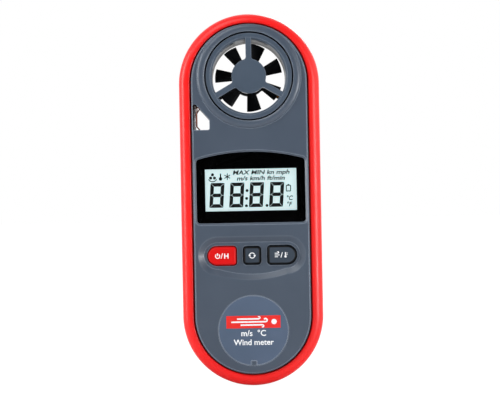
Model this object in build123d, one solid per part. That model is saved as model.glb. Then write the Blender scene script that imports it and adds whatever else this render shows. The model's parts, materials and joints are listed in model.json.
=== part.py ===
from build123d import *
from math import cos, radians, sin, sqrt
import os

# Handheld vane anemometer, standing on its lower end: X to the right, Y from front to back, Z up.
# The origin is under the middle of the lower end. Millimetres and degrees.

# Overall size
LENGTH = 105.0
WIDTH = 39.7
DEPTH = 17.6

# Casing
BAND = 3.25             # width of the red frame seen from the front
BAND_TOP = 2.8          # its width at the top end
SEAM = 0.35             # open seam between the frame and each cover
WALL = 2.0              # walls of both covers
RIM_STEP = 0.8          # height of the vane rim over the front face
FRAME_SETBACK = 0.9     # frame behind the front face, and before the rear face
FRAME_ROUND = 2.3       # rounding of the frame's outer edges
TONGUE = 2.0            # thickness of the frame's inner rib, clamped between the covers
TONGUE_REACH = 1.25     # how far the rib stands in from the frame
EDGE_BEVEL = 0.3        # bevel round the front face
REAR_ROUND = 1.2        # rounding round the rear face
SLIDE_GAP = 0.05        # clearance of fits that only locate a piece

# Vane cartridge, on an axis along Y
VANE_DROP = 17.8        # axis below the top end
BORE_R = 12.55          # hole through the covers
CARTRIDGE_GAP = 0.45    # open ring between the covers and the cartridge
DUCT_WALL = 1.7         # cartridge sleeve round the air passage
DUCT_LEAD = 0.5         # bevel at the passage's mouths
RIM_WIDTH = 2.1         # raised rim round the bore
BORE_WALL = 1.4         # wall of the covers' tubes round the cartridge
FLANGE = 1.2            # thickness of each half's flange, held between the tubes
FLANGE_REACH = 0.9
FLANGE_GAP = 0.2        # covers to the flanges' outer edge
GUARD_SETBACK = 0.6     # guard behind the crest of the rim
GUARD_HUB_R = 4.85
GUARD_HUB_DEPTH = 2.3
SPOKE_WIDTH = 1.6
SPOKE_DEPTH = 1.8
SPOKE_ROUND = 0.8
SPOKE_ANGLES = (90, 210, 330)
SENSOR_SPOKE = 330      # the rear spoke that carries the sensor strip

# Rotor
BLADES = 7
FIRST_BLADE = 21.2
BLADE_PITCH = 42
TIP_GAP = 0.8           # blade tips to the passage's wall
BLADE_THICK = 0.8
BLADE_TIP_CHORD = 5.3
BLADE_ROOT_CHORD = 2.3
BLADE_ROUND = 0.7
ROTOR_HUB_R = 4.3
ROTOR_END_GAP = 0.9     # rotor hub to guard hub
SHAFT_R = 0.5
RUNNING_GAP = 0.03      # shaft to bearing, on radius
BEARING_R = 1.1
BEARING_LENGTH = 1.7
BEARING_PROUD = 0.2
MAGNET_R = 2.2
MAGNET_THICK = 1.5
SENSOR_SIZE = 1.8
SENSOR_THICK = 0.8
SENSOR_CLEAR = 0.4      # bearing to sensor
FLEX_WIDTH = 0.9
FLEX_THICK = 0.2
FLEX_LAP = 1.8          # where it meets the board, below the board's top

# Window beside the vane, with the strap post and the thermistor
EYE_RIGHT = 11.3        # distance of its right side from the middle
EYE_EDGE = 0.3          # cover left between the eye and the seam
EYE_DROP = 14.9         # its lower side below the vane axis
EYE_RISE = 2.9          # height of its right side
EYE_HEIGHT = 7.25
EYE_SLOPE = 3.8         # width of its sloping top
EYE_WALL = 1.0
EYE_ROUND = 0.5
POST_R = 0.4
POST_DEPTH = 2.8        # post axis behind the front face
POST_GRIP = 0.8         # length held in the cover at each end
BEAD_R = 0.6
LEAD_R = 0.18
LEAD_LOOPS = ((0.15, 0.6, 0.6), (1.0, 0.4, 1.44))  # each lead's reach out, down and back from the bead
LEAD_BEND = 1.4         # leads turn down this far outside the board posts
LEAD_ROUND = 0.3

# Display
DISPLAY_Z = 55.3        # middle of the view area
VIEW_WIDTH = 25.7
VIEW_HEIGHT = 11.8
PANE_WIDTH = 30.5
PANE_BELOW = 9.25       # pane's lower edge below the middle of the view
PANE_SIDE = 17.75       # height of its straight sides
PANE_ARCH = 2.15        # rise of its arched top edge
PANE_THICK = 0.8
PANE_SINK = 0.45        # pane behind the front face
PANE_ROUND = 1.0
LIP_WIDTH = 0.5         # bevel round the pane
LIP_DEPTH = 0.35
MASK_THICK = 0.1
GLASS_WIDTH = 28.0
GLASS_HEIGHT = 13.6
GLASS_LEDGE = 2.0       # front glass below the rear glass, for the contacts
GLASS_THICK = 0.55
REFLECTOR_THICK = 0.2
GUIDE_THICK = 1.2
LCD_GAP = 0.2           # covers' inside to the front glass
LCD_RIM = 0.5

# Main board
BOARD_FRONT = 5.6       # its front side behind the front face
BOARD_THICK = 1.2
BOARD_BOTTOM = 13.0
BOARD_ABOVE = 11.2      # its top above the middle of the view
BOARD_EDGE = 0.4
CHIP_SIZE = 7.0
CHIP_THICK = 1.2
CRYSTAL_R = 0.9
CRYSTAL_LENGTH = 6.0
CRYSTAL_X = 9.0
CAPACITOR = (1.6, 0.8)  # length, and width and height
CAPACITORS = 5
CAPACITOR_PITCH = 2.0
POST_X = 12.2
POST_BELOW = 12.1       # board posts below the middle of the view
BOARD_POST_R = 1.6
BOARD_SCREW_R = 0.65
BOARD_HEAD_R = 1.3
BOARD_HEAD = 0.8
BOARD_SCREW_LENGTH = 4.2

# Keys
KEYS_BELOW = 18.45      # row of keys below the middle of the view
KEY_SPACING = 8.45
OUTER_KEY = (7.9, 5.1)
MIDDLE_KEY = (4.6, 4.8)
KEY_CORNER = 0.8
KEY_GAP = 0.3
KEY_PROUD = 0.15        # key tops in front of the face
KEY_ROUND = 0.55
KEY_TRAVEL = 0.3
KEY_FLANGE = 0.65
KEY_FLANGE_REACH = 0.7
RECESS_DEPTH = 0.8
RECESS_WIDTH = 30.2
RECESS_HEIGHT = 10.7
RECESS_SLOPE = 1.6      # width of its sloping wall
RECESS_BULGE = 1.5      # how far the recess's lower edge bows down
RECESS_ROUND = 0.6
SWITCH_SIZE = 4.6
SWITCH_HEIGHT = 2.2
PLUNGER_R = 1.0
PLUNGER_SINK = 0.7      # plunger inside the switch at rest

# Label
LABEL_Z = 15.8
LABEL_R = 9.8
LABEL_THICK = 0.4
LABEL_GAP = 0.08
NOTCH_WIDTH = 1.6
NOTCH_HEIGHT = 1.3

# Battery, its tray and its door
CELL_R = 10.0
CELL_THICK = 3.2
CELL_Z = 24.0
CELL_CAP_STEP = 1.5     # negative cap within the can
CELL_CAP_THICK = 0.5
TRAY_GAP = 0.3
TRAY_WALL = 1.0
TRAY_FLOOR = 1.0
DOOR_WIDTH = 24.0
DOOR_HEIGHT = 24.0
DOOR_THICK = 1.2
DOOR_GAP = 0.15
DOOR_CORNER = 2.0
DOOR_LEDGE = 1.0
THUMB_R = 8.0           # hollow in the back for a fingernail above the door
THUMB_DEPTH = 1.1
HOOK_X = 8.3
HOOK_WIDTH = 2.5
HOOK_THICK = 1.0
HOOK_DROP = 1.7         # hook behind the outside of the door
HOOK_REACH = 1.2
LEAF = 0.2              # contact sheet thickness
LEAF_WIDTH = 3.0

# Case screws
SCREW_X = 8.6
SCREW_LOW_Z = 8.9
SCREW_DROP = 17.2       # upper pair below the vane axis
SCREW_R = 0.95
SCREW_HEAD_R = 1.9
SCREW_HEAD = 1.4
SCREW_BITE = 4.6        # length in the front cover
BOSS_R = 2.6
PILOT_EXTRA = 0.4
HEAD_SEAT = 4.0         # seat of the heads behind the parting plane
HEAD_GAP = 0.2
SHANK_GAP = 0.2
DRIVE_R = 0.55          # socket in each head
DRIVE_DEPTH = 0.7

# Places that follow from the sizes above
FACE = RIM_STEP - DEPTH / 2
BACK = DEPTH / 2
INSIDE = FACE + WALL
REAR_INSIDE = BACK - WALL
COVER_HALF = WIDTH / 2 - BAND - SEAM
TOP_RISE = BAND - BAND_TOP
CAVITY_HALF = COVER_HALF - WALL
VANE_Z = LENGTH - VANE_DROP
SLEEVE_R = BORE_R - CARTRIDGE_GAP
DUCT_R = SLEEVE_R - DUCT_WALL
BLADE_TIP_R = DUCT_R - TIP_GAP
RIM_R = BORE_R + RIM_WIDTH
GUARD = DEPTH / 2 - GUARD_SETBACK
GUARD_INSIDE = GUARD - GUARD_HUB_DEPTH
ROTOR_HALF = GUARD_INSIDE - ROTOR_END_GAP
SENSOR_R = BEARING_R + SENSOR_CLEAR + SENSOR_SIZE / 2
FLEX_BACK = GUARD - SPOKE_DEPTH + FLEX_THICK + SLIDE_GAP
EYE_LEFT = COVER_HALF - EYE_EDGE
EYE_Z = VANE_Z - EYE_DROP
PANE_FRONT = FACE + PANE_SINK
PANE_BACK = PANE_FRONT + PANE_THICK
PANE_SEAT = PANE_BACK + MASK_THICK
GLASS_FRONT = INSIDE + LCD_GAP
GLASS_MIDDLE = GLASS_FRONT + GLASS_THICK
GLASS_BACK = GLASS_MIDDLE + GLASS_THICK
GUIDE_FRONT = GLASS_BACK + REFLECTOR_THICK
GUIDE_BACK = GUIDE_FRONT + GUIDE_THICK
BOARD = FACE + BOARD_FRONT
BOARD_BACK = BOARD + BOARD_THICK
BOARD_TOP = DISPLAY_Z + BOARD_ABOVE
BOARD_POST_Z = DISPLAY_Z - POST_BELOW
KEYS_Z = DISPLAY_Z - KEYS_BELOW
KEY_TOP = FACE - KEY_PROUD
FLANGE_FRONT = INSIDE + SLIDE_GAP
KEY_BACK = FLANGE_FRONT + KEY_FLANGE
SWITCH_FRONT = BOARD - SWITCH_HEIGHT
DOOR_SEAT = BACK - DOOR_THICK
TRAY_OUT = DOOR_SEAT - CELL_THICK - 2 * LEAF
DOOR_Z = CELL_Z
DOOR_LOW = DOOR_Z - DOOR_HEIGHT / 2
DOOR_TOP = DOOR_Z + DOOR_HEIGHT / 2
SCREWS = [(x, z) for z in (SCREW_LOW_Z, VANE_Z - SCREW_DROP) for x in (-SCREW_X, SCREW_X)]
BOARD_POSTS = [(-POST_X, BOARD_POST_Z), (POST_X, BOARD_POST_Z)]


def slab(outline, front, back):
    """An outline in x and z, solid from one depth to another."""
    return extrude(Plane.XZ.offset(-back) * outline, amount=back - front)


def rod(radius, x, z, front, back):
    """A round bar along Y."""
    return slab(Pos(x, z) * Circle(radius), front, back)


def block(x_low, x_high, front, back, z_low, z_high):
    """A box between two corners."""
    size = (x_high - x_low, back - front, z_high - z_low)
    middle = ((x_low + x_high) / 2, (front + back) / 2, (z_low + z_high) / 2)
    return Pos(*middle) * Box(*size)


def stadium(half, rise=TOP_RISE):
    """The covers' outline at a distance from its long axis; the rise lifts its top end's centre."""
    return Pos(0, (LENGTH + rise) / 2) * SlotCenterToCenter(LENGTH - WIDTH + rise, 2 * half, rotation=90)


def turned(profile):
    """A profile in radius and depth, turned about the vane axis."""
    return revolve(Plane((0, 0, VANE_Z)) * profile, Axis((0, 0, VANE_Z), (0, 1, 0)), 360)


def ring(outer, inner, front, back):
    """A tube about the vane axis."""
    return slab(Pos(0, VANE_Z) * (Circle(outer) - Circle(inner)), front, back)


def about_vane(solid, angle):
    """A solid drawn along +X from the vane axis, turned up by an angle."""
    return Pos(0, 0, VANE_Z) * Rot(0, -angle, 0) * solid


def front_edges(solid):
    """Edges of a solid that lie in its foremost plane."""
    return solid.edges().group_by(Axis.Y)[0]


def back_edges(solid):
    """Edges of a solid that lie in its rearmost plane."""
    return solid.edges().group_by(Axis.Y)[-1]


def edges_at(solid, depth, inside):
    """Edges at one depth, all of them within an outline's box grown by a little."""
    box = inside.bounding_box()
    slack = 0.05

    def chosen(edge):
        own = edge.bounding_box()
        flat = abs(own.min.Y - depth) < slack and abs(own.max.Y - depth) < slack
        across = own.min.X > box.min.X - slack and own.max.X < box.max.X + slack
        upright = own.min.Z > box.min.Y - slack and own.max.Z < box.max.Y + slack
        return flat and across and upright

    return solid.edges().filter_by(chosen)


# Outlines

def eye_outline():
    """Window beside the vane: upright sides, and a top that slopes along the rim."""
    slope_top = EYE_RIGHT + EYE_SLOPE
    points = [
        (-EYE_LEFT, EYE_Z),
        (-EYE_RIGHT, EYE_Z),
        (-EYE_RIGHT, EYE_Z + EYE_RISE),
        (-slope_top, EYE_Z + EYE_HEIGHT),
        (-EYE_LEFT, EYE_Z + EYE_HEIGHT),
    ]
    face = make_face(Polyline(*points, close=True))
    return fillet(face.vertices(), EYE_ROUND)


def pane_outline(grow=0.0):
    """Display pane: straight sides and foot, arched top."""
    half = PANE_WIDTH / 2 + grow
    low = DISPLAY_Z - PANE_BELOW - grow
    side = low + PANE_SIDE + 2 * grow
    foot = Polyline((-half, side), (-half, low), (half, low), (half, side))
    arch = ThreePointArc((half, side), (0, side + PANE_ARCH), (-half, side))
    face = make_face([*foot.edges(), arch])
    return fillet(face.vertices(), PANE_ROUND + grow)


def key_outline(place, grow=0.0):
    """A key: square in the middle, half round on its outer end at the sides."""
    width, height = OUTER_KEY if place else MIDDLE_KEY
    half_x = width / 2 + grow
    half_z = height / 2 + grow
    corner = KEY_CORNER + grow
    face = RectangleRounded(2 * half_x, 2 * half_z, corner)
    if place:
        bend = half_x - half_z
        sides = Polyline((bend, half_z), (-half_x, half_z), (-half_x, -half_z), (bend, -half_z))
        end = ThreePointArc((bend, -half_z), (half_x, 0), (bend, half_z))
        face = make_face([*sides.edges(), end])
        face = fillet(face.vertices().group_by(Axis.X)[0], corner)
    turn = 180 if place < 0 else 0
    return Pos(place * KEY_SPACING, KEYS_Z) * Rot(0, 0, turn) * face


def recess_outline():
    """Key recess: a long pill whose lower edge bows down."""
    half = RECESS_WIDTH / 2
    end = RECESS_HEIGHT / 2
    low = KEYS_Z - end
    top = Line((-half + end, KEYS_Z + end), (half - end, KEYS_Z + end))
    right = ThreePointArc((half - end, KEYS_Z + end), (half, KEYS_Z), (half - end, low))
    foot = ThreePointArc((half - end, low), (0, low - RECESS_BULGE), (-half + end, low))
    left = ThreePointArc((-half + end, low), (-half, KEYS_Z), (-half + end, KEYS_Z + end))
    face = make_face([top, right, foot, left])
    return fillet(face.vertices().group_by(Axis.Y)[0], end / 2)


def recess_solid():
    """What the key recess takes out of the face: its wall slopes in to a smaller floor."""
    depth = RECESS_DEPTH
    mouth = Plane.XZ.offset(-FACE) * recess_outline()
    floor = Plane.XZ.offset(-FACE - depth) * offset(recess_outline(), -RECESS_SLOPE)
    return loft([mouth, floor], ruled=True)


def door_outline(grow=0.0):
    """Battery door, rounded at its corners."""
    corner = max(DOOR_CORNER + grow, KEY_GAP)
    face = RectangleRounded(DOOR_WIDTH + 2 * grow, DOOR_HEIGHT + 2 * grow, corner)
    return Pos(0, DOOR_Z) * face


def carrier_outline(grow=0.0):
    """The display carrier, seen from the front."""
    width = GLASS_WIDTH + 2 * (SLIDE_GAP + LCD_RIM + grow)
    height = GLASS_HEIGHT + GLASS_LEDGE + 2 * (SLIDE_GAP + LCD_RIM + grow)
    return Pos(0, DISPLAY_Z - GLASS_LEDGE / 2) * Rectangle(width, height)


def label_outline(grow=0.0):
    """Round label with a notch at its foot."""
    notch_z = LABEL_Z - LABEL_R + NOTCH_HEIGHT / 2
    notch = Pos(0, notch_z) * Rectangle(NOTCH_WIDTH - 2 * grow, NOTCH_HEIGHT)
    return Pos(0, LABEL_Z) * Circle(LABEL_R + grow) - notch


# Casing

def red_frame():
    """Ring round the casing, with a rib that the covers clamp."""
    front = FACE + FRAME_SETBACK
    back = BACK - FRAME_SETBACK
    outer = slab(stadium(WIDTH / 2, 0), front, back)
    outer = fillet(front_edges(outer) + back_edges(outer), FRAME_ROUND)
    inner = COVER_HALF + SEAM
    rib = stadium(inner + SEAM) - stadium(inner - TONGUE_REACH)
    return outer - slab(stadium(inner), front, back) + slab(rib, -TONGUE / 2, TONGUE / 2)


def cover_shell(front, back, inner_front, inner_back, step_front, step_back):
    """A cover's tray, stepped in at its mouth to take the frame's rib."""
    step_half = COVER_HALF + SEAM - TONGUE_REACH - SLIDE_GAP
    shell = slab(stadium(COVER_HALF), front, back)
    cavity = slab(stadium(CAVITY_HALF), inner_front, inner_back)
    step = slab(stadium(COVER_HALF + WALL) - stadium(step_half), step_front, step_back)
    return shell, cavity + step


def flange_room():
    """Space in the covers for the cartridge's flanges, which the two tubes hold between them."""
    return rod(SLEEVE_R + FLANGE_REACH + FLANGE_GAP, 0, VANE_Z, -FLANGE, FLANGE)


def front_cover():
    """Front shell with its rim, window seat, key recess, label seat, tube, bosses and posts."""
    shell, inside = cover_shell(FACE, 0, INSIDE, 0, -TONGUE / 2, 0)
    shell = chamfer(front_edges(shell), EDGE_BEVEL) - inside
    shell -= slab(carrier_outline(LCD_GAP), INSIDE, 0)
    rim_half = (RIM_R - BORE_R + CARTRIDGE_GAP) / 2
    rim = turned(Pos(RIM_R - rim_half, FACE) * Ellipse(rim_half, RIM_STEP))
    shell += rim
    shell += ring(BORE_R + BORE_WALL, BORE_R, INSIDE, -FLANGE)
    shell += slab(offset(eye_outline(), EYE_WALL), INSIDE, 0) & slab(stadium(CAVITY_HALF), INSIDE, 0)
    for x, z in SCREWS:
        shell += rod(BOSS_R, x, z, INSIDE, 0) & slab(stadium(CAVITY_HALF), INSIDE, 0)
    for x, z in BOARD_POSTS:
        shell += rod(BOARD_POST_R, x, z, INSIDE, BOARD)
    shell -= rod(BORE_R, 0, VANE_Z, FACE - 2 * RIM_STEP, 1)
    shell -= slab(eye_outline(), FACE - RIM_STEP, 0)
    shell -= flange_room()

    shell -= slab(pane_outline(SLIDE_GAP), FACE, PANE_SEAT)
    lip = edges_at(shell, FACE, pane_outline(SLIDE_GAP))
    flat = shell.faces().filter_by(lambda f: abs(f.center().Y - FACE) < SLIDE_GAP).sort_by(SortBy.AREA)[-1]
    shell = chamfer(lip, LIP_WIDTH, LIP_DEPTH, reference=flat)
    view = Pos(0, DISPLAY_Z) * Rectangle(VIEW_WIDTH + LIP_WIDTH, VIEW_HEIGHT + LIP_WIDTH)
    shell -= slab(view, PANE_SEAT, INSIDE)

    shell -= recess_solid()
    shell = fillet(edges_at(shell, FACE, recess_outline()), RECESS_ROUND)
    for place in (-1, 0, 1):
        shell -= slab(key_outline(place, KEY_GAP), FACE, INSIDE)

    shell -= slab(label_outline(LABEL_GAP), FACE, FACE + LABEL_THICK)
    for x, z in SCREWS:
        shell -= rod(SCREW_R, x, z, -SCREW_BITE - PILOT_EXTRA, 0)
    for x, z in BOARD_POSTS:
        shell -= rod(BOARD_SCREW_R, x, z, BOARD_BACK - BOARD_SCREW_LENGTH - PILOT_EXTRA, BOARD)
    return shell - post_solid() - leads_solid(LEAD_R + SLIDE_GAP)


def tray_solid():
    """Battery tray behind the door: floor, round well and a ledge that the door rests on."""
    wall_low = TRAY_OUT - TRAY_FLOOR
    body = slab(door_outline(TRAY_WALL), wall_low, DOOR_SEAT)
    pocket = slab(door_outline(-DOOR_LEDGE), TRAY_OUT, DOOR_SEAT)
    well = Circle(CELL_R + TRAY_GAP + TRAY_WALL) - Circle(CELL_R + TRAY_GAP)
    pocket -= slab(Pos(0, CELL_Z) * well, TRAY_OUT, DOOR_SEAT)
    pocket += rod(CELL_R + TRAY_GAP, 0, CELL_Z, TRAY_OUT, DOOR_SEAT)
    return body - pocket


def hook_room():
    """Slots under the rear wall for the door's hooks, with room for their swing."""
    room = []
    for side in (-1, 1):
        x = side * HOOK_X
        half = HOOK_WIDTH / 2 + DOOR_GAP
        back = BACK - HOOK_DROP + DOOR_GAP / 2
        low = DOOR_LOW - HOOK_REACH - DOOR_GAP
        room.append(block(x - half, x + half, TRAY_OUT, back, low, DOOR_LOW + DOOR_LEDGE))
        room.append(block(x - half, x + half, TRAY_OUT, BACK, DOOR_LOW, DOOR_LOW + DOOR_LEDGE))
    return room


def rear_cover():
    """Rear shell with its tube, bosses, battery tray and the seat of the door."""
    shell, inside = cover_shell(0, BACK, 0, REAR_INSIDE, 0, TONGUE / 2)
    shell = fillet(back_edges(shell), REAR_ROUND) - inside
    cavity = slab(stadium(CAVITY_HALF), 0, BACK - WALL / 2)
    shell += ring(BORE_R + BORE_WALL, BORE_R, FLANGE, REAR_INSIDE)
    shell += slab(offset(eye_outline(), EYE_WALL), 0, REAR_INSIDE) & cavity
    for x, z in SCREWS:
        shell += rod(BOSS_R, x, z, 0, REAR_INSIDE) & cavity
    shell -= slab(door_outline(DOOR_GAP), TRAY_OUT, BACK)
    shell += tray_solid() & slab(stadium(COVER_HALF - WALL / 2), 0, BACK)
    for room in hook_room():
        shell -= room
    shell -= Pos(0, BACK + THUMB_R - THUMB_DEPTH, DOOR_TOP + DOOR_CORNER) * Sphere(THUMB_R)
    shell -= rod(BORE_R, 0, VANE_Z, 0, BACK)
    shell -= flange_room()
    shell -= slab(eye_outline(), 0, BACK)
    for x, z in SCREWS:
        shell -= rod(SCREW_R + SHANK_GAP, x, z, 0, BACK)
        shell -= rod(SCREW_HEAD_R + HEAD_GAP, x, z, HEAD_SEAT, BACK)
    shell -= flex_slot()
    shell -= flex_run(SLIDE_GAP)
    shell -= slab(positive_slot(), 0, DOOR_SEAT)
    return shell - slab(negative_slot(), 0, TRAY_OUT + LEAF)


# Vane cartridge

def guard_half(side):
    """Half of the cartridge: sleeve, flange, spokes and hub; side -1 is the front, 1 the rear."""
    outline = Circle(GUARD_HUB_R)
    for angle in SPOKE_ANGLES:
        reach = DUCT_R + CARTRIDGE_GAP
        outline += Rot(0, 0, angle) * Pos(reach / 2, 0) * Rectangle(reach, SPOKE_WIDTH)
    corners = outline.vertices().filter_by(lambda v: abs(sqrt(v.X**2 + v.Y**2) - GUARD_HUB_R) < 0.01)
    outline = fillet(corners, SPOKE_ROUND)
    grille = slab(Pos(0, VANE_Z) * outline, -GUARD, -GUARD + SPOKE_DEPTH)
    half = ring(SLEEVE_R, DUCT_R, -GUARD, 0)
    mouth = edges_at(half, -GUARD, Pos(0, VANE_Z) * Circle(DUCT_R))
    half = chamfer(mouth, DUCT_LEAD)
    half += ring(SLEEVE_R + FLANGE_REACH, DUCT_R, -FLANGE, 0)
    half += grille
    half += rod(GUARD_HUB_R, 0, VANE_Z, -GUARD, -GUARD_INSIDE)
    seat = BEARING_LENGTH - BEARING_PROUD
    half -= rod(BEARING_R, 0, VANE_Z, -GUARD_INSIDE - seat, -GUARD_INSIDE)
    if side > 0:
        half = mirror(half, about=Plane.XZ)
        half -= flex_slot()
        half -= sensor_solid(SLIDE_GAP)
    return half


def bearing(side):
    """Bronze bush pressed into a guard hub."""
    seat = BEARING_LENGTH - BEARING_PROUD
    front = -GUARD_INSIDE - seat
    bush = rod(BEARING_R, 0, VANE_Z, front, front + BEARING_LENGTH)
    bush -= rod(SHAFT_R + RUNNING_GAP, 0, VANE_Z, front, front + BEARING_LENGTH)
    return mirror(bush, about=Plane.XZ) if side > 0 else bush


def shaft_half():
    """Half the length of the shaft, which stops short of the seats' floors."""
    return GUARD_INSIDE + BEARING_LENGTH - BEARING_PROUD - 2 * SLIDE_GAP


def rotor_shaft():
    """Steel shaft through the rotor, running in both bushes."""
    shaft = rod(SHAFT_R, 0, VANE_Z, -shaft_half(), shaft_half())
    return chamfer(front_edges(shaft) + back_edges(shaft), SHAFT_R / 4)


def rotor_magnet():
    """Ring magnet in the rear end of the rotor hub."""
    magnet = rod(MAGNET_R, 0, VANE_Z, ROTOR_HALF - MAGNET_THICK, ROTOR_HALF)
    return magnet - rod(SHAFT_R, 0, VANE_Z, ROTOR_HALF - MAGNET_THICK, ROTOR_HALF)


def blade():
    """One flat blade along +X, widening outwards, pitched about its own length."""
    root = ROTOR_HUB_R - BLADE_THICK / 2
    tip = BLADE_TIP_R + BLADE_THICK
    points = [
        (root, -BLADE_ROOT_CHORD / 2),
        (tip, -BLADE_TIP_CHORD / 2),
        (tip, BLADE_TIP_CHORD / 2),
        (root, BLADE_ROOT_CHORD / 2),
    ]
    plate = extrude(make_face(Polyline(*points, close=True)), BLADE_THICK / 2, both=True)
    return Rot(90 + BLADE_PITCH, 0, 0) * plate


def vane_rotor():
    """Hub with pitched blades, trimmed to the duct."""
    blades = [about_vane(blade(), FIRST_BLADE + 360 / BLADES * i) for i in range(BLADES)]
    sweep_disc = rod(BLADE_TIP_R, 0, VANE_Z, -ROTOR_HALF, ROTOR_HALF)
    sweep_disc = fillet(front_edges(sweep_disc) + back_edges(sweep_disc), BLADE_ROUND)
    rotor = rod(ROTOR_HUB_R, 0, VANE_Z, -ROTOR_HALF, ROTOR_HALF)
    for one in blades:
        rotor += one & sweep_disc
    rotor -= rod(SHAFT_R, 0, VANE_Z, -ROTOR_HALF, ROTOR_HALF)
    return rotor - rod(MAGNET_R, 0, VANE_Z, ROTOR_HALF - MAGNET_THICK, ROTOR_HALF)


def sensor_solid(grow=0.0):
    """Turn sensor in the rear hub's face, on the line of the sensor spoke."""
    half = SENSOR_SIZE / 2 + grow
    back = GUARD_INSIDE + SENSOR_THICK + grow
    body = block(SENSOR_R - half, SENSOR_R + half, GUARD_INSIDE, back, -half, half)
    return about_vane(body, SENSOR_SPOKE)


def flex_turn_r():
    """Radius at which the strip turns down, outside the rear cover's tube."""
    return BORE_R + BORE_WALL + FLEX_WIDTH / 2


def flex_arm(width, front, back):
    """The strip's stretch along the sensor spoke and out through the tubes."""
    start = SENSOR_R + SENSOR_SIZE / 2
    arm = block(start, flex_turn_r() + FLEX_WIDTH / 2, front, back, -width / 2, width / 2)
    return about_vane(arm, SENSOR_SPOKE)


def flex_slot():
    """Groove for the strip in the hub, spoke, sleeve and tube, open towards the rotor."""
    return flex_arm(FLEX_WIDTH + 4 * SLIDE_GAP, GUARD_INSIDE - SLIDE_GAP, FLEX_BACK + SLIDE_GAP)


def flex_run(grow=0.0):
    """The strip's stretch down from the tubes, and forward to the board."""
    angle = radians(SENSOR_SPOKE)
    x = flex_turn_r() * cos(angle)
    z = VANE_Z + flex_turn_r() * sin(angle)
    half = FLEX_WIDTH / 2 + grow
    foot = BOARD_TOP - FLEX_LAP - grow
    back = FLEX_BACK + grow
    run = block(x - half, x + half, FLEX_BACK - FLEX_THICK - grow, back, foot, z)
    return run + block(x - half, x + half, BOARD_BACK, back, foot, foot + FLEX_THICK + 2 * grow)


def sensor_flex():
    """Printed strip from the turn sensor along the spoke, down and forward to the board."""
    return flex_arm(FLEX_WIDTH, FLEX_BACK - FLEX_THICK, FLEX_BACK) + flex_run()


# Strap post and thermistor

def post_x():
    """The post stands against the eye's outer side."""
    return -(EYE_LEFT - POST_R - SLIDE_GAP)


def post_solid():
    """Steel pin that stands in the eye, its ends in the front cover."""
    x = post_x()
    pin = Cylinder(POST_R, EYE_HEIGHT + 2 * POST_GRIP)
    return Pos(x, FACE + POST_DEPTH, EYE_Z + EYE_HEIGHT / 2) * pin


def bead_place():
    """Middle of the thermistor bead, high in the eye and in front of the post."""
    x = -(EYE_LEFT - BEAD_R - SLIDE_GAP)
    return x, FACE + BEAD_R + EYE_ROUND, EYE_Z + EYE_HEIGHT - BEAD_R - 2 * SLIDE_GAP


def leads_solid(radius):
    """The thermistor's two leads: down the eye beside the post, through its foot, to the board."""
    bead_x, bead_y, bead_z = bead_place()
    run_x = post_x() + POST_R + LEAD_R + SLIDE_GAP
    turn_x = -POST_X - LEAD_BEND
    wires = []
    for loop_out, loop_down, depth in LEAD_LOOPS:
        run_y = bead_y + depth
        points = [
            (bead_x, bead_y, bead_z),
            (run_x + loop_out, bead_y + depth / 2, bead_z - loop_down),
            (run_x, run_y, bead_z - 3 * BEAD_R),
            (run_x, run_y, EYE_Z + EYE_WALL),
            (turn_x, run_y, EYE_Z - EYE_WALL / 2),
            (turn_x, run_y, EYE_Z - 3 * EYE_WALL),
            (-POST_X, BOARD - EYE_WALL, BOARD_TOP - EYE_WALL),
            (-POST_X, BOARD, BOARD_TOP - EYE_WALL * (1 + depth / 2)),
        ]
        path = FilletPolyline(*points, radius=LEAD_ROUND)
        start = Plane(origin=path @ 0, z_dir=path % 0)
        wires.append(sweep(start * Circle(radius), path=path))
    return Compound(wires) if radius == LEAD_R else wires[0] + wires[1]


def thermistor_bead():
    """Glass bead, its leads sealed in."""
    return Pos(*bead_place()) * Sphere(BEAD_R) - leads_solid(LEAD_R + SLIDE_GAP / 5)


# Display

def display_window():
    """Clear pane, arched at the top."""
    return slab(pane_outline(), PANE_FRONT, PANE_BACK)


def window_mask():
    """Black border printed behind the pane."""
    view = Pos(0, DISPLAY_Z) * Rectangle(VIEW_WIDTH, VIEW_HEIGHT)
    return slab(pane_outline() - view, PANE_BACK, PANE_SEAT)


def glass_block(front, back, ledge):
    """A plate of the display stack; the ledge adds to its foot."""
    half = GLASS_WIDTH / 2
    low = DISPLAY_Z - GLASS_HEIGHT / 2
    return block(-half, half, front, back, low - ledge, low + GLASS_HEIGHT)


def zebra_strip():
    """Elastomer contact strip between the front glass's ledge and the board."""
    low = DISPLAY_Z - GLASS_HEIGHT / 2 - GLASS_LEDGE
    half = GLASS_WIDTH / 2 - 1
    gap = 2 * SLIDE_GAP
    return block(-half, half, GLASS_MIDDLE, BOARD, low + gap, low + GLASS_LEDGE - gap)


def lcd_frame():
    """Open carrier that holds the display stack between the cover and the board."""
    half = GLASS_WIDTH / 2 + SLIDE_GAP
    low = DISPLAY_Z - GLASS_HEIGHT / 2 - GLASS_LEDGE - SLIDE_GAP
    top = DISPLAY_Z + GLASS_HEIGHT / 2 + SLIDE_GAP
    carrier = block(-half - LCD_RIM, half + LCD_RIM, INSIDE, BOARD, low - LCD_RIM, top + LCD_RIM)
    carrier -= block(-half, half, INSIDE, GUIDE_BACK, low, top)
    slot_low = low + SLIDE_GAP
    return carrier - block(-half, half, GUIDE_BACK, BOARD, slot_low, slot_low + GLASS_LEDGE)


# Board

def main_board():
    """Printed board, rounded at its foot to follow the casing."""
    half = CAVITY_HALF - BOARD_EDGE
    middle = (BOARD_BOTTOM + BOARD_TOP) / 2
    frame = Pos(0, middle) * Rectangle(2 * half, BOARD_TOP - BOARD_BOTTOM)
    outline = frame & stadium(half)
    for x, z in BOARD_POSTS:
        outline -= Pos(x, z) * Circle(BOARD_SCREW_R + SHANK_GAP)
    return slab(outline, BOARD, BOARD_BACK)


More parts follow.
